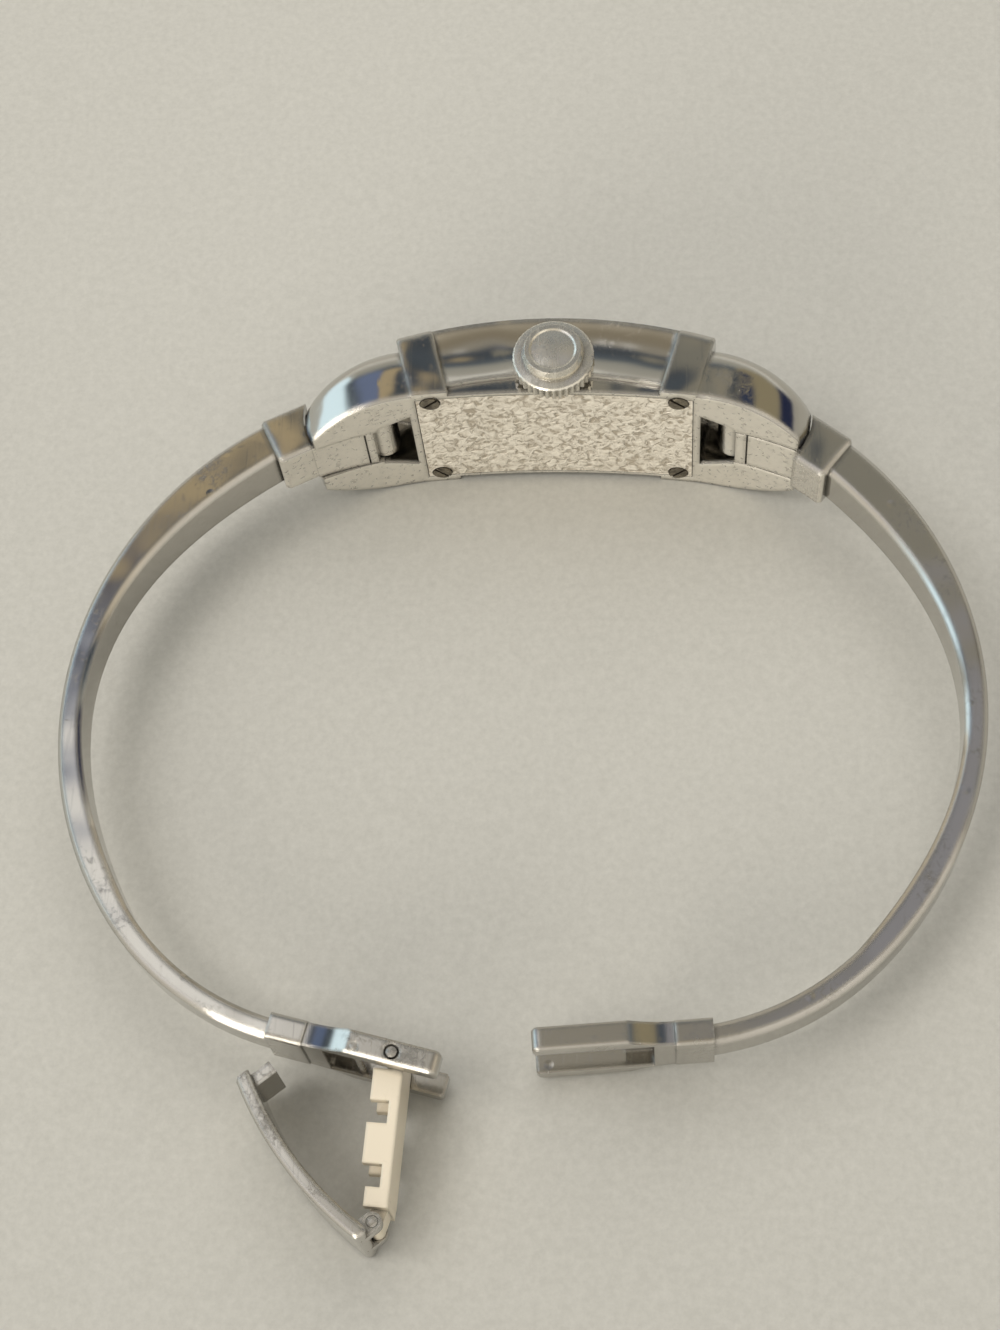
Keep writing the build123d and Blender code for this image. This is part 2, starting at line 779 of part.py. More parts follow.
with BuildPart() as stem_detent:
    detent_level = stem_groove_level + (stem_groove_width - detent_thickness) / 2
    with BuildSketch(Plane.XY.offset(detent_level)):
        with Locations((0, crown_level)):
            Rectangle(detent_length, detent_length)
            Circle(stem_radius - stem_groove_depth + hinge_running_gap, mode=Mode.SUBTRACT)
        with Locations((0, crown_level + detent_length / 2)):
            Rectangle(stem_radius, detent_length, mode=Mode.SUBTRACT)
    extrude(amount=detent_thickness)
keep(stem_detent.part, "stem_detent")

# End pieces, arms and clasp heads
for side in sides:
    block_middle = Vector(block_end_x, block_end_y) - along(block_heading, block_tail / 2)
    flush = Axis((hinge_x, hinge_y, 0), (0, 0, 1))
    with BuildPart() as wrist_side:
        with BuildSketch():
            with BuildLine():
                rear = ThreePointArc(
                    stirrup_back_tip,
                    (hinge_x + groove_offset, stirrup_back_mid),
                    on_back(stirrup_start),
                )
                Line(rear @ 1, (stirrup_start, -2 * overrun))
                Line((stirrup_start, -2 * overrun), (stirrup_tip, -2 * overrun))
                Line((stirrup_tip, -2 * overrun), rear @ 0)
            make_face()
        extrude(amount=tongue_width, both=True)
        with BuildSketch():
            with Locations((hinge_x + groove_offset, stirrup_back_mid)):
                Rectangle(groove_width, 2 * groove_depth)
        extrude(amount=tongue_width, both=True)

    with BuildPart() as block:
        with BuildSketch():
            with Locations(block_middle):
                Rectangle(block_tail, block_thickness, rotation=block_heading)
        extrude(amount=block_width / 2, both=True)
        chamfer(block.edges(), block_edge)
        with BuildSketch():
            with Locations(hinge):
                Circle(end_radius + end_gap)
        extrude(amount=overrun, both=True, mode=Mode.SUBTRACT)

    with BuildPart() as end_piece:
        with BuildSketch():
            with BuildLine():
                Polyline(
                    (hinge_x, hinge_y + knuckle_radius),
                    (hinge_x + knuckle_radius / 2, hinge_y + knuckle_radius),
                    (tongue_tip.X + end_gap, tongue_tip.Y),
                    (tongue_tip.X + end_gap, -overrun),
                    (hinge_x, -overrun),
                    close=True,
                )
            make_face()
            with Locations(hinge):
                Circle(knuckle_radius)
                Circle(end_radius + end_gap + fit_gap, mode=Mode.INTERSECT)
        extrude(amount=tongue_width / 2, both=True)
        add(wrist_side.part.rotate(flush, -flush_angles[side]), mode=Mode.SUBTRACT)
        add(block.part)
        with BuildSketch():
            with Locations(hinge):
                Circle(hinge_pin_radius + hinge_running_gap)
        extrude(amount=overrun, both=True, mode=Mode.SUBTRACT)
    keep(place(end_piece.part, side), "end_piece_" + side)

    with BuildPart() as hinge_pin:
        with BuildSketch():
            with Locations(hinge):
                Circle(hinge_pin_radius)
        extrude(amount=stirrup_half, both=True)
        with BuildSketch(Plane.XZ):
            with Locations((stirrup_centre, 0)):
                Ellipse(stirrup_reach, stirrup_half)
        extrude(amount=overrun, both=True, mode=Mode.INTERSECT)
    pin = hinge_pin.part.mirror(Plane.YZ) if side == "6" else hinge_pin.part
    keep(pin, "hinge_pin_" + side)

    forward = along(block_heading)
    outward = along(block_heading + 90)
    joint = Vector(block_end_x, block_end_y) + outward * arm_outset
    outer_start = joint + outward * (arm_head_thickness / 2)
    bow_centre, bow_end = follow(outer_start, arm_heading, arm_radius, arm_turn)
    tail_heading = arm_heading - arm_turn
    tail_turn = tail_turns[side] + arm_overlength
    tail_centre, outer_end = follow(bow_end, tail_heading, tail_radius, tail_turn)
    end_heading = tail_heading - tail_turn
    clasp_heading = tail_heading - tail_turns[side] + 90
    clasp_start = tail_centre + along(clasp_heading, tail_radius - arm_clasp_thickness / 2)
    clasp_way = along(head_headings[side])
    clasp_out = along(head_headings[side] + 90)
    flat = Plane(origin=(clasp_start.X, clasp_start.Y, 0), x_dir=clasp_way, z_dir=(0, 0, 1))

    def inner(centre, radius, heading, thickness):
        return centre + along(heading + 90, radius - thickness)

    with BuildPart() as arm:
        with BuildSketch():
            with BuildLine():
                bow = ThreePointArc(
                    outer_start,
                    bow_centre + along(arm_heading - arm_turn / 2 + 90, arm_radius),
                    bow_end,
                )
                tail = ThreePointArc(
                    bow_end,
                    tail_centre + along(tail_heading - tail_turn / 2 + 90, tail_radius),
                    outer_end,
                )
                tail_inner = ThreePointArc(
                    inner(tail_centre, tail_radius, end_heading, arm_clasp_thickness),
                    inner(
                        tail_centre, tail_radius, tail_heading - tail_turn / 2,
                        (arm_clasp_thickness + arm_waist_thickness) / 2,
                    ),
                    inner(tail_centre, tail_radius, tail_heading, arm_waist_thickness),
                )
                bow_inner = Spline(
                    tail_inner @ 1,
                    inner(bow_centre, arm_radius, arm_heading - arm_turn / 2, arm_waist_thickness),
                    joint - outward * (arm_head_thickness / 2),
                )
                Line(outer_end, tail_inner @ 0)
                Line(bow_inner @ 1, outer_start)
            make_face()
        extrude(amount=arm_head_width / 2, both=True)
        arm_drop = block_end_y - outer_end.Y
        with BuildSketch(Plane.YZ):
            with BuildLine():
                Polyline(
                    (block_end_y + arm_drop, arm_head_width - arm_clasp_width / 2),
                    (block_end_y - arm_drop, arm_clasp_width / 2),
                    (block_end_y - arm_drop, -arm_clasp_width / 2),
                    (block_end_y + arm_drop, arm_clasp_width / 2 - arm_head_width),
                    close=True,
                )
            make_face()
        extrude(amount=2 * arm_radius, both=True, mode=Mode.INTERSECT)
        edges = arm.faces().filter_by(lambda f: abs(f.normal_at().Z) > 1 / 2).edges()
        chamfer([e for e in edges if e.length > arm_head_width], arm_edge)
        with BuildSketch(flat):
            with Locations((overrun / 2, 0)):
                Rectangle(overrun, overrun)
        extrude(amount=overrun, both=True, mode=Mode.SUBTRACT)
    keep(place(arm.part, side), "arm_" + side)

    def plan(level):
        at = clasp_start + clasp_out * level
        return Plane(origin=(at.X, at.Y, 0), x_dir=clasp_way, z_dir=clasp_out)

    with BuildPart() as clasp_head:
        with BuildSketch(plan(-clasp_inner)):
            with BuildLine():
                for sz in (1, -1):
                    Polyline(
                        (clasp_length, 0), (clasp_length, sz * clasp_half), (neck_end, sz * clasp_half)
                    )
                    ThreePointArc(
                        (neck_end, sz * clasp_half),
                        (neck_middle, sz * neck_middle_half),
                        (clasp_collar_length, sz * neck_half),
                    )
                    Polyline((clasp_collar_length, sz * neck_half), (clasp_collar_length, 0))
            make_face()
        extrude(amount=clasp_inner + clasp_outer)
        tips = clasp_head.edges().filter_by(Axis(clasp_start, clasp_out))
        fillet(tips.group_by(Axis(clasp_start, clasp_way))[-1], tip_round)
        long_edges = clasp_head.edges().filter_by(
            lambda e: abs(abs(e.center().Z) - clasp_half) < fit_gap and e.length > neck_end
        )
        chamfer(long_edges, clasp_edge)
        with BuildSketch(plan(-clasp_inner - clasp_collar_proud)):
            with Locations(((clasp_collar_length - clasp_socket) / 2, 0)):
                Rectangle(clasp_collar_length + clasp_socket, 2 * clasp_collar_half)
        extrude(amount=clasp_inner + clasp_outer + 2 * clasp_collar_proud)
        collar_edges = clasp_head.edges().filter_by(Axis(clasp_start, clasp_way))
        collar_edges = [
            e for e in collar_edges
            if abs(abs(e.center().Z) - clasp_collar_half) < fit_gap
        ]
        fillet(collar_edges, clasp_collar_round)
        with BuildSketch(flat):
            with Locations((-clasp_socket, 0)):
                Rectangle(2 * clasp_socket, arm_clasp_thickness + 2 * fit_gap)
        extrude(amount=arm_clasp_width / 2 + fit_gap, both=True, mode=Mode.SUBTRACT)
        with BuildSketch(plan(clasp_outer + overrun)):
            with Locations(((channel_start + clasp_length + overrun) / 2, 0)):
                Rectangle(clasp_length + overrun - channel_start, 2 * channel_half)
        extrude(amount=-overrun - clasp_outer - clasp_inner + channel_floor, mode=Mode.SUBTRACT)
        with BuildSketch(plan(clasp_outer + overrun)):
            with Locations(((fork_start + clasp_length + overrun) / 2, 0)):
                Rectangle(clasp_length + overrun - fork_start, 2 * channel_half)
        extrude(amount=-3 * overrun, mode=Mode.SUBTRACT)
        if side == "6":
            with BuildSketch(flat):
                with Locations((clasp_length - link_pin_setback, 0)):
                    Circle(link_pin_radius)
                with Locations((clasp_length - catch_bar_setback, catch_bar_level)):
                    Circle(catch_bar_radius)
            extrude(amount=overrun, both=True, mode=Mode.SUBTRACT)
            with BuildSketch(flat.offset(clasp_half - pin_recess_depth)):
                with Locations((clasp_length - link_pin_setback, 0)):
                    Circle(pin_recess_radius)
            extrude(amount=overrun, mode=Mode.SUBTRACT)
    keep(place(clasp_head.part, side), "clasp_head_" + side)

# Link pin and catch bar in the 6 o'clock clasp head
with BuildPart() as link_pin:
    with BuildSketch(flat.offset(-clasp_half)):
        with Locations((clasp_length - link_pin_setback, 0)):
            Circle(link_pin_radius)
    extrude(amount=2 * clasp_half)
keep(place(link_pin.part, "6"), "link_pin")

with BuildPart() as catch_bar:
    with BuildSketch(flat.offset(-clasp_half)):
        with Locations((clasp_length - catch_bar_setback, catch_bar_level)):
            Circle(catch_bar_radius)
    extrude(amount=2 * clasp_half)
keep(place(catch_bar.part, "6"), "catch_bar")

link_point = place_point(clasp_start + clasp_way * (clasp_length - link_pin_setback), "6")
link_plane = Plane(
    origin=(link_point.X, link_point.Y, 0), x_dir=along(link_heading), z_dir=(0, 0, 1)
)

with BuildPart() as clasp_link:
    with BuildSketch(link_plane):
        with BuildLine():
            Polyline(
                (0, spine_inner),
                (0, spine_outer),
                (spine_end, spine_outer),
                (lug_ends[2], spine_outer / 2),
                (lug_ends[2], spine_inner),
                close=True,
            )
        make_face()
        Circle(link_eye)
        for near, far, reach in zip(lug_starts, lug_ends, lug_reaches):
            with Locations(((near + far) / 2, (spine_outer - reach) / 2)):
                Rectangle(far - near, spine_outer + reach - fit_gap)
    extrude(amount=link_half, both=True)
    with BuildSketch(link_plane):
        with Locations((cover_pin_distance / 2, -overrun / 2)):
            Rectangle(3 * cover_pin_distance, overrun)
    extrude(amount=link_half - link_plate, both=True, mode=Mode.SUBTRACT)
    with BuildSketch(link_plane):
        with Locations((cover_pin_distance, cover_pin_level)):
            Circle(link_knuckle)
        with BuildLine():
            Polyline(
                (spine_end, 0),
                (spine_end, spine_outer),
                (cover_pin_distance, cover_pin_level + link_knuckle),
                (cover_pin_distance, cover_pin_level - link_knuckle),
                (lug_ends[2], cover_pin_level - link_knuckle / 2),
                close=True,
            )
        make_face()
    extrude(amount=link_half - cover_eye_width - fit_gap, both=True)
    with BuildSketch(link_plane):
        Circle(link_pin_radius + hinge_running_gap)
        with Locations((cover_pin_distance, cover_pin_level)):
            Circle(cover_pin_radius)
    extrude(amount=overrun, both=True, mode=Mode.SUBTRACT)
keep(clasp_link.part, "clasp_link")

cover_point = link_plane.from_local_coords(Vector(cover_pin_distance, cover_pin_level, 0))
cover_plane = Plane(
    origin=cover_point, x_dir=along(link_heading + cover_opening), z_dir=(0, 0, 1)
)

with BuildPart() as cover_pin:
    with BuildSketch(cover_plane.offset(-link_half)):
        Circle(cover_pin_radius)
    extrude(amount=2 * link_half)
keep(cover_pin.part, "cover_pin")


def cover_arc(x, offset):
    """A point of the cover, seen from its hinge, at a distance along the closed link."""
    radius = cover_radius + offset
    sag = cover_radius - math.sqrt(radius**2 - (x - cover_middle) ** 2)
    return (x - cover_pin_distance, cover_level - cover_pin_level + sag)


cover_tip = cover_pin_distance + cover_eye
with BuildPart() as clasp_cover:
    with BuildSketch(cover_plane):
        with BuildLine():
            inside = ThreePointArc(
                cover_arc(cover_end, 0), cover_arc(cover_middle, 0), cover_arc(cover_tip, 0)
            )
            outside = ThreePointArc(
                cover_arc(cover_tip, cover_thickness),
                cover_arc(cover_middle, cover_thickness),
                cover_arc(cover_end, cover_thickness),
            )
            Line(inside @ 1, outside @ 0)
            Line(outside @ 1, inside @ 0)
        make_face()
    extrude(amount=cover_half, both=True)
    knuckle_end = clasp_cover.edges().filter_by(Axis.Z)
    fillet(knuckle_end.group_by(Axis(cover_point, cover_plane.x_dir))[-1], cover_end_round)
    outer_side = clasp_cover.faces().sort_by(Axis(cover_point, cover_plane.y_dir))[0]
    chamfer(outer_side.edges(), cover_edge)
    with BuildSketch(cover_plane):
        hook_corner = Vector(*cover_arc(cover_end, 0))
        with Locations((hook_corner.X + hook_thickness / 2, hook_corner.Y + hook_reach / 2 - cover_edge)):
            Rectangle(hook_thickness, hook_reach + 2 * cover_edge)
    extrude(amount=hook_half, both=True)
    for sz in (-1, 1):
        with BuildSketch(cover_plane.offset(sz * (link_half - cover_eye_width / 2))):
            Circle(cover_eye)
            with Locations((0, -cover_eye)):
                Rectangle(2 * cover_eye, 2 * cover_eye)
        extrude(amount=cover_eye_width / 2, both=True)
    with BuildSketch(cover_plane):
        Circle(cover_pin_radius + hinge_running_gap)
    extrude(amount=overrun, both=True, mode=Mode.SUBTRACT)
keep(clasp_cover.part, "clasp_cover")

# The watch lies on its flank, with the origin at the middle of its footprint
extent = Compound(children=[Part(p.wrapped) for p in finished]).bounding_box()
shift = Vector(-(extent.min.X + extent.max.X) / 2, -(extent.min.Y + extent.max.Y) / 2, -extent.min.Z)

for piece in finished:
    moved = piece.moved(Location(shift))
    moved.label = piece.label
    export_step(moved, "parts/" + piece.label + ".step")

mirrored_hinge = Vector(-hinge_x, hinge_y)
for name, point in (
    ("middle plane", Vector(0, 0)),
    ("arm 12 hinge", hinge),
    ("arm 6 hinge", mirrored_hinge),
    ("link hinge", link_point),
    ("cover hinge", cover_point),
    ("crown axis", Vector(0, crown_level)),
    ("motion work", Vector(0, 0, -motion_distance)),
):
    at = point + shift
    print(name, round(at.X, 4), round(at.Y, 4), round(at.Z, 4))
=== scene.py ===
import json
import math

import bmesh
import bpy
from mathutils import Euler, Matrix, Vector

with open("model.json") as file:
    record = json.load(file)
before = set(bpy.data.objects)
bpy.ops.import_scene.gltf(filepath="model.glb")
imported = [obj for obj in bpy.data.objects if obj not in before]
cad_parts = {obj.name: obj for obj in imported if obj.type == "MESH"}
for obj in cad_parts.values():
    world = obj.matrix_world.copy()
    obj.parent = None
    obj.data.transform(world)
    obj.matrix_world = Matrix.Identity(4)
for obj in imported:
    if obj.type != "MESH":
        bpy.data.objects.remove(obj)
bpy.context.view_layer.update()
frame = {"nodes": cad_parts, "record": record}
nodes = frame["nodes"]
print("model loaded:", len(nodes), "nodes")

# Camera over the watch, looking down past the crown at the back of the case
camera = {
    "place": (0.010273, -0.053424, 0.141424),
    "turn": (24.2277, 3.9013, 2.2328),
    "lens": 62.26,
    "nearest": 0.005,
    "farthest": 20,
}
cameraData = bpy.data.cameras.new("camera")
cameraData.lens = camera["lens"]
cameraData.clip_start = camera["nearest"]
cameraData.clip_end = camera["farthest"]
cameraObject = bpy.data.objects.new("camera", cameraData)
cameraObject.location = camera["place"]
cameraObject.rotation_euler = Euler([math.radians(a) for a in camera["turn"]])
bpy.context.scene.collection.objects.link(cameraObject)
bpy.context.scene.camera = cameraObject
print("camera set")


def hexToLinear(code, power=1.0):
    values = [int(code[i:i + 2], 16) / 255 for i in (1, 3, 5)]
    linear = [v / 12.92 if v <= 0.04045 else ((v + 0.055) / 1.055) ** 2.4 for v in values]
    return (*(power * v for v in linear), 1.0)


# Adds a node. Each input is a value, or the output that links to it; stops are (place, value or color)
def addNode(tree, kind, settings=None, inputs=None, stops=()):
    node = tree.nodes.new(kind)
    for name, value in (settings or {}).items():
        setattr(node, name, value)
    for socket, value in (inputs or {}).items():
        if isinstance(value, bpy.types.NodeSocket):
            tree.links.new(value, node.inputs[socket])
        else:
            node.inputs[socket].default_value = value
    for _ in stops[2:]:
        node.color_ramp.elements.new(0.5)
    for index, (place, value) in enumerate(stops):
        element = node.color_ramp.elements[index]
        element.position = place
        element.color = value if isinstance(value, tuple) else (value, value, value, 1.0)
    return node


def newMaterial(name):
    material = bpy.data.materials.new(name)
    material.use_nodes = True
    tree = material.node_tree
    tree.nodes.clear()
    shader = addNode(tree, "ShaderNodeBsdfPrincipled")
    addNode(tree, "ShaderNodeOutputMaterial", inputs={"Surface": shader.outputs["BSDF"]})
    position = addNode(tree, "ShaderNodeTexCoord").outputs["Object"]
    return material, tree, shader, position


# Painted shade: the base color is darkened in slots and seams that ambient occlusion finds closed in, and
# the darkening fades out 0.4 mm from them
seamShade = {"color": "#2A2622", "reach": 0.0004, "full": 0.3, "gone": 0.66}


def seamShadedColor(tree, color):
    openness = addNode(
        tree, "ShaderNodeAmbientOcclusion", {"samples": 2}, {"Distance": seamShade["reach"]}
    ).outputs["AO"]
    clean = addNode(
        tree, "ShaderNodeValToRGB", inputs={"Fac": openness},
        stops=[(seamShade["full"], 0.0), (seamShade["gone"], 1.0)],
    ).outputs["Color"]
    return addNode(
        tree, "ShaderNodeMix", {"data_type": "RGBA"},
        {"Factor": clean, "A": hexToLinear(seamShade["color"]), "B": color},
    ).outputs["Result"]


# Hair scratches in three directions: each is a noise drawn out to thin lines, of which the ramp keeps few
hairs = {
    "directions": [((0.3, 0.2, 0.5), 0.05), ((0.9, -0.4, -0.7), 0.07), ((-0.2, 0.8, 1.9), 0.06)],
    "start": 0.66, "full": 0.74, "depth": 0.00001,
}


def hairScratches(tree, position, spacing):
    layers = []
    for turn, stretch in hairs["directions"]:
        drawnOut = addNode(
            tree, "ShaderNodeMapping",
            inputs={"Vector": position, "Rotation": turn, "Scale": (1.0, stretch, stretch)},
        ).outputs["Vector"]
        lines = addNode(
            tree, "ShaderNodeTexNoise",
            inputs={"Vector": drawnOut, "Scale": 1 / spacing, "Detail": 1.0, "Roughness": 0.4},
        ).outputs["Fac"]
        layers.append(addNode(
            tree, "ShaderNodeValToRGB", inputs={"Fac": lines},
            stops=[(hairs["start"], 0.0), (hairs["full"], 1.0)],
        ).outputs["Color"])
    both = addNode(
        tree, "ShaderNodeMath", {"operation": "MAXIMUM"}, {0: layers[0], 1: layers[1]}
    ).outputs["Value"]
    return addNode(
        tree, "ShaderNodeMath", {"operation": "MAXIMUM"}, {0: both, 1: layers[2]}
    ).outputs["Value"]


# The hinge pins were ground flush with the case, so their seats have no rounded edge
flushPin = {"start": 0.0006, "end": 0.00085}


def plainNormalAt(tree, position, normal, place):
    flat = addNode(
        tree, "ShaderNodeVectorMath", {"operation": "MULTIPLY"}, {0: position, 1: (1.0, 1.0, 0.0)}
    ).outputs["Vector"]
    apart = addNode(
        tree, "ShaderNodeVectorMath", {"operation": "DISTANCE"}, {0: flat, 1: (*place, 0.0)}
    ).outputs["Value"]
    outside = addNode(
        tree, "ShaderNodeMapRange",
        inputs={"Value": apart, "From Min": flushPin["start"], "From Max": flushPin["end"]},
    ).outputs["Result"]
    plain = addNode(tree, "ShaderNodeNewGeometry").outputs["Normal"]
    return addNode(
        tree, "ShaderNodeMix", {"data_type": "VECTOR"}, {"Factor": outside, "A": plain, "B": normal}
    ).outputs["Result"]


# Polished 316L stainless steel that has been worn for years: still a mirror, with cloudy patches 4 mm
# wide, fine hair scratches drawn 0.2 mm apart so that they show and, where a piece rubs, a scuffed grain
# of 0.4 mm. Waves are the soft hollows that hand polishing leaves. On faces towards -Y, the wrist side,
# the steel can be made satin and given the pale scuff color, a painted highlight for light from the front
polishedSteel = {
    "color": "#C4C1BB", "scuffColor": "#B4B1AA", "metallic": 1.0, "roughness": 0.05, "roundEdge": 0.0001,
    "cloudSize": 0.004, "cloudRoughness": 0.1,
    "scuffs": 0.15, "scuffSize": 0.0004, "scuffShare": 0.45, "scuffRoughness": 0.3, "rubDepth": 0.00002,
    "scratches": 0.12, "scratchSpacing": 0.0002, "scratchRoughness": 0.5, "scratchBump": 0.4,
    "dents": 0.3, "dentSize": 0.0022, "dentCore": 0.04, "dentRim": 0.15, "dentDepth": 0.00006,
    "dentBump": 0.25,
    "waves": 0.03, "waveSize": 0.003, "waveDepth": 0.0004,
    "wristSatinAndSheen": 0.0, "wristFrom": 0.72, "wristFull": 0.86, "wristDull": 0.6,
    "pitCore": 0.36, "pitRim": 0.5, "pitSatin": 0.55, "flushPins": [],
}


def steelMaterial(name, values):
    material, tree, shader, position = newMaterial(name)
    clouds = addNode(
        tree, "ShaderNodeTexNoise",
        inputs={"Vector": position, "Scale": 1 / values["cloudSize"], "Detail": 4.0, "Roughness": 0.6},
    ).outputs["Fac"]
    grain = addNode(
        tree, "ShaderNodeTexNoise",
        inputs={
            "Vector": position, "Scale": 1 / values["scuffSize"], "Detail": 5.0, "Roughness": 0.6,
            "Distortion": 0.6,
        },
    ).outputs["Fac"]
    patches = addNode(
        tree, "ShaderNodeMix", inputs={"Factor": values["scuffShare"], "A": clouds, "B": grain}
    ).outputs["Result"]
    # More scuffs cover more of the surface and show more
    scuffs = values["scuffs"]
    scuffed = addNode(
        tree, "ShaderNodeValToRGB", inputs={"Fac": patches},
        stops=[(0.62 - 0.2 * scuffs, 0.0), (0.72 - 0.12 * scuffs, min(1.0, 0.3 + scuffs))],
    ).outputs["Color"]
    shader.inputs["Metallic"].default_value = values["metallic"]
    if values["wristSatinAndSheen"]:
        # The satin and its painted highlight, the pale scuff color, fade in on faces that look 44 to 31
        # degrees off -Y
        normal = addNode(tree, "ShaderNodeTexCoord").outputs["Normal"]
        facing = addNode(
            tree, "ShaderNodeVectorMath", {"operation": "DOT_PRODUCT"}, {0: normal, 1: (0.0, -1.0, 0.0)}
        ).outputs["Value"]
        worn = addNode(
            tree, "ShaderNodeValToRGB", inputs={"Fac": facing},
            stops=[(values["wristFrom"], 0.0), (values["wristFull"], values["wristSatinAndSheen"])],
        ).outputs["Color"]
        pits = addNode(
            tree, "ShaderNodeValToRGB", inputs={"Fac": grain},
            stops=[(values["pitCore"], values["pitSatin"]), (values["pitRim"], 1.0)],
        ).outputs["Color"]
        worn = addNode(
            tree, "ShaderNodeMath", {"operation": "MULTIPLY"}, {0: worn, 1: pits}
        ).outputs["Value"]
        scuffed = addNode(
            tree, "ShaderNodeMath", {"operation": "MAXIMUM"}, {0: scuffed, 1: worn}
        ).outputs["Value"]
        dulled = addNode(
            tree, "ShaderNodeMath", {"operation": "MULTIPLY_ADD"},
            {0: worn, 1: -values["wristDull"], 2: values["metallic"]},
        ).outputs["Value"]
        tree.links.new(dulled, shader.inputs["Metallic"])
    # On the -Y faces this mix also lays in the painted highlight of the pale scuff color
    tint = addNode(
        tree, "ShaderNodeMix", {"data_type": "RGBA"},
        {"Factor": scuffed, "A": hexToLinear(values["color"]), "B": hexToLinear(values["scuffColor"])},
    ).outputs["Result"]
    # The base color gets painted shade in slots and seams
    tree.links.new(seamShadedColor(tree, tint), shader.inputs["Base Color"])
    scratches = hairScratches(tree, position, values["scratchSpacing"])
    rough = values["roughness"]
    for marks, share in (
        (clouds, values["cloudRoughness"]), (scuffed, values["scuffRoughness"]),
        (scratches, values["scratchRoughness"] * values["scratches"]),
    ):
        rough = addNode(
            tree, "ShaderNodeMath", {"operation": "MULTIPLY_ADD"}, {0: marks, 1: share, 2: rough}
        ).outputs["Value"]
    tree.links.new(rough, shader.inputs["Roughness"])
    normal = addNode(
        tree, "ShaderNodeBevel", {"samples": 3}, {"Radius": values["roundEdge"]}
    ).outputs["Normal"]
    for place in values["flushPins"]:
        normal = plainNormalAt(tree, position, normal, place)
    dentCells = addNode(
        tree, "ShaderNodeTexVoronoi", inputs={"Vector": position, "Scale": 1 / values["dentSize"]}
    ).outputs["Distance"]
    dented = addNode(
        tree, "ShaderNodeValToRGB", inputs={"Fac": dentCells},
        stops=[(values["dentCore"], 1.0), (values["dentRim"], 0.0)],
    ).outputs["Color"]
    rubbed = addNode(
        tree, "ShaderNodeMath", {"operation": "MULTIPLY"}, {0: grain, 1: scuffed}
    ).outputs["Value"]
    hollows = addNode(
        tree, "ShaderNodeTexNoise",
        inputs={"Vector": position, "Scale": 1 / values["waveSize"], "Detail": 0.0},
    ).outputs["Fac"]
    # Scratches and dents go into the steel, so their bumps are inverted
    for height, inverted, strength, depth in (
        (scratches, True, values["scratchBump"] * values["scratches"], hairs["depth"]),
        (dented, True, values["dentBump"] * values["dents"], values["dentDepth"]),
        (rubbed, False, 0.12 + 0.3 * scuffs, values["rubDepth"]),
        (hollows, False, values["waves"], values["waveDepth"]),
    ):
        normal = addNode(
            tree, "ShaderNodeBump", {"invert": inverted},
            {"Strength": strength, "Distance": depth, "Height": height, "Normal": normal},
        ).outputs["Normal"]
    tree.links.new(normal, shader.inputs["Normal"])
    return material


# The case keeps its polish, but the wrist has rubbed its back to a satin with dark pits. The pale scuff
# color there is a painted highlight for the light from the front
caseSteel = steelMaterial("polished_stainless_steel", {
    **polishedSteel, "scuffColor": "#DBD6CA", "roundEdge": 0.0005, "waves": 0.45, "rubDepth": 0.00008,
    "scuffs": 0.18, "dents": 0.2, "scratches": 0.06, "wristSatinAndSheen": 0.95,
    "flushPins": [(0.0138574, 0.0250283), (-0.0101426, 0.0250283)],
})
# The bangle rubs against sleeves and desks more than the case does: soft edges and cloudy scuffs
bangleSteel = steelMaterial("worn_stainless_steel", {
    **polishedSteel, "roundEdge": 0.0004, "waves": 0.15, "scuffs": 0.34, "dents": 0.6, "scratches": 0.08,
})
# Its clasp rubs most of all, and is gray with scuffs and small dents
claspSteel = steelMaterial("scuffed_stainless_steel", {
    **polishedSteel, "roughness": 0.08, "roundEdge": 0.0003,
    "scuffs": 0.48, "dents": 0.9, "scratches": 0.1,
})
# The link is a stamped plate that was never polished: a satin without reflections. Its warm, very pale
# color is a painted highlight for the strong light on it
linkSteel = steelMaterial("stamped_stainless_steel", {
    **polishedSteel, "color": "#FFF3DC", "scuffColor": "#EFE2CA", "metallic": 0.4, "roughness": 0.28,
    "roundEdge": 0.0003, "cloudSize": 0.0016, "scuffs": 0.2, "dents": 0.0, "scratches": 0.04,
})
# Fingers have dulled the crown. Its even gray is lightened, a painted highlight for the light that its
# rounded dome catches
crownSteel = steelMaterial("dulled_stainless_steel", {
    **polishedSteel, "color": "#E2DED4", "metallic": 0.9, "roughness": 0.17, "cloudRoughness": 0.18,
    "cloudSize": 0.0012, "scuffs": 0.5, "dents": 0.0, "scratches": 0.25,
})
# The screws of the back are colored a dark, brownish gray
screwSteel = steelMaterial("dark_brown_stainless_steel", {
    **polishedSteel, "color": "#8F887A", "scuffColor": "#57514A", "roughness": 0.22, "cloudSize": 0.001,
    "scuffs": 0.8, "dents": 0.0,
})
# Turned and stamped steel inside the case, with a plain satin
innerSteel = steelMaterial("satin_stainless_steel", {
    **polishedSteel, "color": "#BEBCB8", "scuffColor": "#A8A6A2", "roughness": 0.2, "cloudSize": 0.002,
    "dents": 0.0,
})
# Heat-blued steel of the hands and marks, nearly black except where it catches the light
handSteel = steelMaterial("blued_steel", {
    **polishedSteel, "color": "#1E2440", "scuffColor": "#151828", "roughness": 0.08, "cloudSize": 0.001,
    "dents": 0.0,
})
# Brass plates of the movement: lacquered, so they keep their yellow under a soft, cloudy gloss
platedBrass = {
    **polishedSteel, "color": "#C9AE6E", "scuffColor": "#AE935A", "roughness": 0.2, "cloudSize": 0.0012,
    "dents": 0.0,
}
movementBrass = steelMaterial("lacquered_brass", platedBrass)
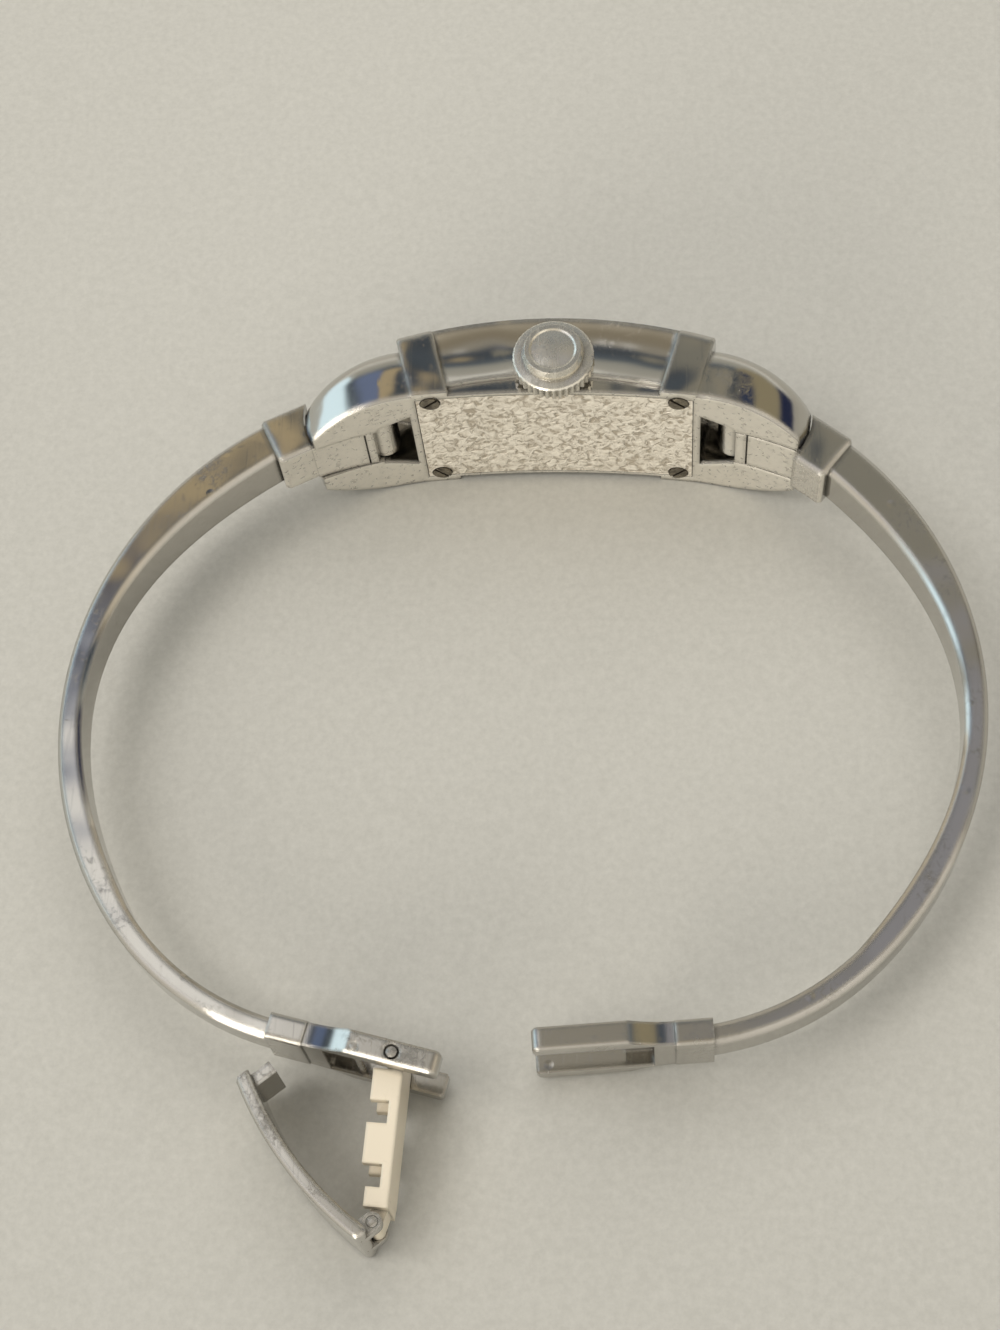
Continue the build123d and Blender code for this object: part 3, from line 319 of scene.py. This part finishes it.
# Wire of the coil, wound 0.06 mm apart: fine lines under a red-brown enamel
coilCopper = steelMaterial("enamelled_copper_wire", {
    **platedBrass, "color": "#B4653A", "scuffColor": "#8C4526", "scratchSpacing": 0.00006, "scuffs": 0.5,
})

# Etched stainless steel of the back plate, rubbed to a satin with pebbles of 0.5 mm that catch the light
pebbledSteel = {
    "color": "#FBF4E6", "shade": "#B9AE9C", "metallic": 0.3, "roughness": 0.32, "patchRoughness": 0.16,
    "lumpSize": 0.0005, "lumpDepth": 0.00017, "lumpBump": 0.9, "patchSize": 0.003, "wornLumps": 0.35,
}


def pebbledMaterial(name, values):
    material, tree, shader, position = newMaterial(name)
    lumps = addNode(
        tree, "ShaderNodeTexNoise",
        inputs={
            "Vector": position, "Scale": 1 / values["lumpSize"], "Detail": 2.5, "Roughness": 0.55,
            "Distortion": 0.8,
        },
    ).outputs["Fac"]
    patches = addNode(
        tree, "ShaderNodeTexNoise",
        inputs={"Vector": position, "Scale": 1 / values["patchSize"], "Detail": 2.0},
    ).outputs["Fac"]
    pebbles = addNode(
        tree, "ShaderNodeValToRGB", inputs={"Fac": lumps}, stops=[(0.34, 0.0), (0.5, 0.7), (0.66, 1.0)]
    ).outputs["Color"]
    # Where the plate was rubbed most, the pebbles are worn down
    kept = addNode(
        tree, "ShaderNodeValToRGB", inputs={"Fac": patches}, stops=[(0.3, values["wornLumps"]), (0.6, 1.0)]
    ).outputs["Color"]
    height = addNode(
        tree, "ShaderNodeMath", {"operation": "MULTIPLY"}, {0: pebbles, 1: kept}
    ).outputs["Value"]
    # Painted highlight and shade: the pebble tops take the pale color and their hollows the darker shade
    tint = addNode(
        tree, "ShaderNodeMix", {"data_type": "RGBA"},
        {"Factor": pebbles, "A": hexToLinear(values["shade"]), "B": hexToLinear(values["color"])},
    ).outputs["Result"]
    # The base color gets painted shade in slots and seams
    tree.links.new(seamShadedColor(tree, tint), shader.inputs["Base Color"])
    shader.inputs["Metallic"].default_value = values["metallic"]
    rough = addNode(
        tree, "ShaderNodeMath", {"operation": "MULTIPLY_ADD"},
        {0: patches, 1: values["patchRoughness"], 2: values["roughness"]},
    ).outputs["Value"]
    tree.links.new(rough, shader.inputs["Roughness"])
    normal = addNode(
        tree, "ShaderNodeBump",
        inputs={"Strength": values["lumpBump"], "Distance": values["lumpDepth"], "Height": height},
    ).outputs["Normal"]
    tree.links.new(normal, shader.inputs["Normal"])
    return material


backSteel = pebbledMaterial("pebbled_stainless_steel", pebbledSteel)


# Moulded, pressed and lacquered materials: two close tones in one grain, which also gives a slight bump
def grainedMaterial(name, values):
    material, tree, shader, position = newMaterial(name)
    noise = addNode(
        tree, "ShaderNodeTexNoise",
        inputs={"Vector": position, "Scale": 1 / values["grain"], "Detail": 3.0},
    ).outputs["Fac"]
    tint = addNode(
        tree, "ShaderNodeMix", {"data_type": "RGBA"},
        {"Factor": noise, "A": hexToLinear(values["color"]), "B": hexToLinear(values["shade"])},
    ).outputs["Result"]
    tree.links.new(tint, shader.inputs["Base Color"])
    shader.inputs["Roughness"].default_value = values["roughness"]
    normal = addNode(
        tree, "ShaderNodeBump", inputs={"Strength": 0.3, "Distance": values["grainDepth"], "Height": noise}
    ).outputs["Normal"]
    tree.links.new(normal, shader.inputs["Normal"])
    return material


# Pressed nitrile rubber of the gaskets: black and dull
nitrileRubber = grainedMaterial("nitrile_rubber", {
    "color": "#151516", "shade": "#202022", "roughness": 0.55, "grain": 0.0003, "grainDepth": 0.00001,
})
# Moulded nylon of the movement holder: cream, with the faint grain of its mould
holderNylon = grainedMaterial("moulded_nylon", {
    "color": "#DEDBD0", "shade": "#CFCBBE", "roughness": 0.5, "grain": 0.0004, "grainDepth": 0.000008,
})
# Glass epoxy laminate of the circuit board: green and slightly glossy, with the weave just showing
boardLaminate = grainedMaterial("glass_epoxy_laminate", {
    "color": "#1E5537", "shade": "#16432B", "roughness": 0.35, "grain": 0.0005, "grainDepth": 0.000005,
})
# Silvered lacquer of the dial, with a faint grain that only shows against the light
dialLacquer = grainedMaterial("silvered_dial_lacquer", {
    "color": "#E9E7E0", "shade": "#DDDAD1", "roughness": 0.3, "grain": 0.0002, "grainDepth": 0.000004,
})

# Synthetic sapphire of the crystal: ground and polished clear, with finger smears about 1 mm wide
sapphireGlass = {"color": "#F4F7F8", "ior": 1.77, "smearSize": 0.00111, "clean": 0.015, "smeared": 0.06}


def sapphireMaterial(name, values):
    material, tree, shader, position = newMaterial(name)
    noise = addNode(
        tree, "ShaderNodeTexNoise",
        inputs={"Vector": position, "Scale": 1 / values["smearSize"], "Detail": 3.0},
    ).outputs["Fac"]
    smears = addNode(
        tree, "ShaderNodeValToRGB", inputs={"Fac": noise},
        stops=[(0.45, values["clean"]), (0.75, values["smeared"])],
    ).outputs["Color"]
    tree.links.new(smears, shader.inputs["Roughness"])
    shader.inputs["Base Color"].default_value = hexToLinear(values["color"])
    shader.inputs["IOR"].default_value = values["ior"]
    shader.inputs["Transmission Weight"].default_value = 1.0
    return material


# Finishes by the record's material slots, then those of single nodes
slotFinishes = {
    "polished_steel": caseSteel,
    "brushed_steel": innerSteel,
    "dark_steel": handSteel,
    "gasket_rubber": nitrileRubber,
    "sapphire": sapphireMaterial("sapphire_crystal", sapphireGlass),
    "dial_lacquer": dialLacquer,
    "holder_plastic": holderNylon,
    "movement_brass": movementBrass,
    "board": boardLaminate,
    "copper_wire": coilCopper,
}
nodeFinishes = {
    "case_back": backSteel,
    "case_back_screws": screwSteel,
    "crown": crownSteel,
    "clasp_link": linkSteel,
}
slotOf = {entry["node"]: entry["material_slot"] for entry in frame["record"]["subparts"]}
for name, thing in nodes.items():
    finish = slotFinishes[slotOf[name]]
    if name.startswith("arm_"):
        finish = bangleSteel
    if name.startswith(("clasp_", "catch_", "link_", "cover_")):
        finish = claspSteel
    thing.data.materials.clear()
    thing.data.materials.append(nodeFinishes.get(name, finish))
print("finishes set")


# Table: the watch rests on the flank of its case and on its clasp, so the table tips a little. It is
# melamine laminate, pressed with a texture of 0.5 mm: matt and even, with a rare speck of dust
table = {
    "size": 1.6, "slope": 2.8, "touch": 0.0245, "gap": 0.00002,
    "color": "#C7C5BD", "shade": "#BAB8B0", "roughness": 0.5,
    "grain": 0.0005, "grainDepth": 0.00003, "patchSize": 0.111, "patchShare": 0.3,
    "dust": "#6E675C", "dustSpacing": 0.0222, "dustRarity": 0.73, "dustCore": 0.008, "dustRim": 0.016,
    "dustShade": 0.7,
}


def makeTable():
    mesh = bpy.data.meshes.new("table")
    work = bmesh.new()
    bmesh.ops.create_grid(work, x_segments=8, y_segments=8, size=table["size"] / 2)
    bmesh.ops.rotate(work, verts=work.verts, matrix=Matrix.Rotation(-math.radians(table["slope"]), 3, "X"))
    bmesh.ops.translate(work, verts=work.verts, vec=(0, table["touch"], -table["gap"]))
    work.to_mesh(mesh)
    work.free()
    thing = bpy.data.objects.new("table", mesh)
    bpy.context.scene.collection.objects.link(thing)
    return mesh


def tableMaterial(name, values):
    material, tree, shader, position = newMaterial(name)
    wide = addNode(
        tree, "ShaderNodeTexNoise",
        inputs={"Vector": position, "Scale": 1 / values["patchSize"], "Detail": 3.0},
    ).outputs["Fac"]
    grain = addNode(
        tree, "ShaderNodeTexNoise",
        inputs={"Vector": position, "Scale": 1 / values["grain"], "Detail": 4.0, "Roughness": 0.7},
    ).outputs["Fac"]
    both = addNode(
        tree, "ShaderNodeMix", inputs={"Factor": values["patchShare"], "A": grain, "B": wide}
    ).outputs["Result"]
    shaded = addNode(
        tree, "ShaderNodeValToRGB", inputs={"Fac": both}, stops=[(0.35, 0.0), (0.65, 1.0)]
    ).outputs["Color"]
    tint = addNode(
        tree, "ShaderNodeMix", {"data_type": "RGBA"},
        {"Factor": shaded, "A": hexToLinear(values["color"]), "B": hexToLinear(values["shade"])},
    ).outputs["Result"]
    # Each cell has a random color, and the few with a bright one hold a speck in their middle
    cells = addNode(
        tree, "ShaderNodeTexVoronoi", inputs={"Vector": position, "Scale": 1 / values["dustSpacing"]}
    )
    chosen = addNode(
        tree, "ShaderNodeValToRGB", inputs={"Fac": cells.outputs["Color"]},
        stops=[(values["dustRarity"] - 0.01, 0.0), (values["dustRarity"] + 0.01, 1.0)],
    ).outputs["Color"]
    middle = addNode(
        tree, "ShaderNodeValToRGB", inputs={"Fac": cells.outputs["Distance"]},
        stops=[(values["dustCore"], values["dustShade"]), (values["dustRim"], 0.0)],
    ).outputs["Color"]
    speck = addNode(
        tree, "ShaderNodeMath", {"operation": "MULTIPLY"}, {0: chosen, 1: middle}
    ).outputs["Value"]
    dusty = addNode(
        tree, "ShaderNodeMix", {"data_type": "RGBA"},
        {"Factor": speck, "A": tint, "B": hexToLinear(values["dust"])},
    ).outputs["Result"]
    tree.links.new(dusty, shader.inputs["Base Color"])
    shader.inputs["Roughness"].default_value = values["roughness"]
    normal = addNode(
        tree, "ShaderNodeBump", inputs={"Strength": 0.2, "Distance": values["grainDepth"], "Height": grain}
    ).outputs["Normal"]
    tree.links.new(normal, shader.inputs["Normal"])
    return material


makeTable().materials.append(tableMaterial("laminate_table", table))
print("table made")

# Soft room light: a window high on the left, a weaker one behind the watch, and one low in front, the
# only one that the steel mirrors. For the rest it mirrors the room described below
lights = {
    "window": {
        "place": (-0.54, -0.12, 0.87), "size": 0.45, "power": 3.3, "color": "#FFFBF6", "mirrored": False,
    },
    "behind": {
        "place": (0.0, 0.34, 0.42), "size": 0.5, "power": 1.1, "color": "#FFFAF2", "mirrored": False,
    },
    "front": {
        "place": (-0.5, -0.85, 0.35), "size": 0.5, "power": 4.6, "color": "#FFF8EC", "mirrored": True,
    },
}
for name, values in lights.items():
    lamp = bpy.data.lights.new(name, "AREA")
    lamp.size = values["size"]
    lamp.energy = values["power"]
    lamp.color = hexToLinear(values["color"])[:3]
    thing = bpy.data.objects.new(name, lamp)
    thing.location = values["place"]
    thing.rotation_euler = (-Vector(values["place"])).to_track_quat("-Z", "Y").to_euler()
    thing.visible_glossy = values["mirrored"]
    bpy.context.scene.collection.objects.link(thing)

# The room that the steel mirrors: pale and dark bands by their angle from overhead, negative towards the
# front, and soft-edged round patches over them. A patch's reach is its radius on a globe of radius 1
room = {
    "light": "#E6E6E3", "strength": 0.58, "swirl": 3.5,
    "bands": [
        (-90, "#DCD5C6"), (-64, "#FFFAF0"), (-46, "#F6EFE0"), (-34, "#ECE3D2"), (-22, "#C8BEAA"),
        (-8, "#9F9581"), (8, "#9C9280"), (13, "#7D7F84"), (17, "#5C636D"), (30, "#4B535C"),
        (46, "#69727A"), (53, "#B0AFA6"), (76, "#C4C1B6"), (84, "#FFFDF4"), (90, "#DAD4C6"),
    ],
    "patches": [
        # Left: cold daylight, then blues and tans
        {"towards": (-0.88, 0.05, 0.42), "reach": 0.28, "edge": 0.14, "color": "#DDF4FF", "power": 1.7},
        {"towards": (-0.82, 0.52, 0.24), "reach": 0.26, "edge": 0.08, "color": "#DDF4FF", "power": 1.6},
        {"towards": (-0.5, 0.48, 0.72), "reach": 0.19, "edge": 0.08, "color": "#7F8DAE", "power": 1.0},
        {"towards": (-0.62, 0.2, 0.76), "reach": 0.16, "edge": 0.1, "color": "#5C6F8E", "power": 1.0},
        {"towards": (-0.28, 0.34, 0.9), "reach": 0.08, "edge": 0.05, "color": "#9EA6BC", "power": 1.0},
        {"towards": (-0.27, 0.41, 0.87), "reach": 0.04, "edge": 0.03, "color": "#4C5266", "power": 1.0},
        {"towards": (-0.24, 0.52, 0.82), "reach": 0.11, "edge": 0.04, "color": "#C9B794", "power": 1.0},
        # Overhead, which the cove, the collars and the blocks mirror
        {"towards": (-0.06, 0.2, 0.98), "reach": 0.13, "edge": 0.1, "color": "#A8A294", "power": 1.0},
        {"towards": (-0.25, 0.23, 0.94), "reach": 0.12, "edge": 0.08, "color": "#F6F4F0", "power": 1.3},
        {"towards": (-0.55, -0.2, 0.8), "reach": 0.26, "edge": 0.1, "color": "#F4F2F6", "power": 1.4},
        {"towards": (0.14, 0.5, 0.86), "reach": 0.15, "edge": 0.05, "color": "#A39D8D", "power": 1.0},
        {"towards": (0.05, 0.47, 0.88), "reach": 0.07, "edge": 0.05, "color": "#99968A", "power": 1.0},
        {"towards": (0.16, 0.3, 0.94), "reach": 0.12, "edge": 0.08, "color": "#A6A5AA", "power": 1.0},
        # Right: warm and pale in front, tan with two dark shapes behind
        {"towards": (0.75, -0.1, 0.6), "reach": 0.24, "edge": 0.2, "color": "#FFF3DC", "power": 1.2},
        {"towards": (0.45, -0.42, 0.78), "reach": 0.25, "edge": 0.1, "color": "#FFF8E8", "power": 1.4},
        {"towards": (0.62, 0.52, 0.58), "reach": 0.34, "edge": 0.08, "color": "#A59A7E", "power": 1.0},
        {"towards": (0.45, 0.52, 0.72), "reach": 0.1, "edge": 0.03, "color": "#3A4560", "power": 1.0},
        {"towards": (0.85, 0.5, 0.16), "reach": 0.16, "edge": 0.05, "color": "#2E3450", "power": 1.0},
    ],
}


def mirroredRoom(tree):
    direction = addNode(tree, "ShaderNodeTexCoord").outputs["Generated"]
    axes = addNode(tree, "ShaderNodeSeparateXYZ", inputs={"Vector": direction})
    lean = addNode(
        tree, "ShaderNodeMath", {"operation": "ARCTAN2"}, {0: axes.outputs["Y"], 1: axes.outputs["Z"]}
    ).outputs["Value"]
    # The swirl bends the bands a few degrees either way, as a room's clutter would
    shapes = addNode(
        tree, "ShaderNodeTexNoise",
        inputs={"Vector": direction, "Scale": 2.6, "Detail": 2.0, "Roughness": 0.5},
    ).outputs["Fac"]
    swirl = math.radians(room["swirl"])
    bent = addNode(
        tree, "ShaderNodeMath", {"operation": "MULTIPLY_ADD"}, {0: shapes, 1: -2 * swirl, 2: lean}
    ).outputs["Value"]
    place = addNode(
        tree, "ShaderNodeMapRange",
        inputs={"Value": bent, "From Min": -math.pi / 2 - swirl, "From Max": math.pi / 2 - swirl},
    ).outputs["Result"]
    color = addNode(
        tree, "ShaderNodeValToRGB", inputs={"Fac": place},
        stops=[((angle + 90) / 180, hexToLinear(code)) for angle, code in room["bands"]],
    ).outputs["Color"]
    for patch in room["patches"]:
        apart = addNode(
            tree, "ShaderNodeVectorMath", {"operation": "DISTANCE"},
            {0: direction, 1: Vector(patch["towards"]).normalized()},
        ).outputs["Value"]
        fade = patch["edge"] / 2
        mask = addNode(
            tree, "ShaderNodeValToRGB", inputs={"Fac": apart},
            stops=[(patch["reach"] - fade, 1.0), (patch["reach"] + fade, 0.0)],
        ).outputs["Color"]
        color = addNode(
            tree, "ShaderNodeMix", {"data_type": "RGBA"},
            {"Factor": mask, "A": color, "B": hexToLinear(patch["color"], patch["power"])},
        ).outputs["Result"]
    return color


world = bpy.data.worlds.new("room")
bpy.context.scene.world = world
world.use_nodes = True
tree = world.node_tree
tree.nodes.clear()
rays = addNode(tree, "ShaderNodeLightPath")
lit = addNode(
    tree, "ShaderNodeBackground",
    inputs={"Color": hexToLinear(room["light"]), "Strength": room["strength"]},
)
seen = addNode(tree, "ShaderNodeBackground", inputs={"Color": mirroredRoom(tree)})
either = addNode(
    tree, "ShaderNodeMixShader",
    inputs={0: rays.outputs["Is Glossy Ray"], 1: lit.outputs["Background"], 2: seen.outputs["Background"]},
)
addNode(tree, "ShaderNodeOutputWorld", inputs={"Surface": either.outputs["Shader"]})
bpy.context.scene.view_settings.view_transform = "Standard"
print("light set")

bpy.context.view_layer.update()
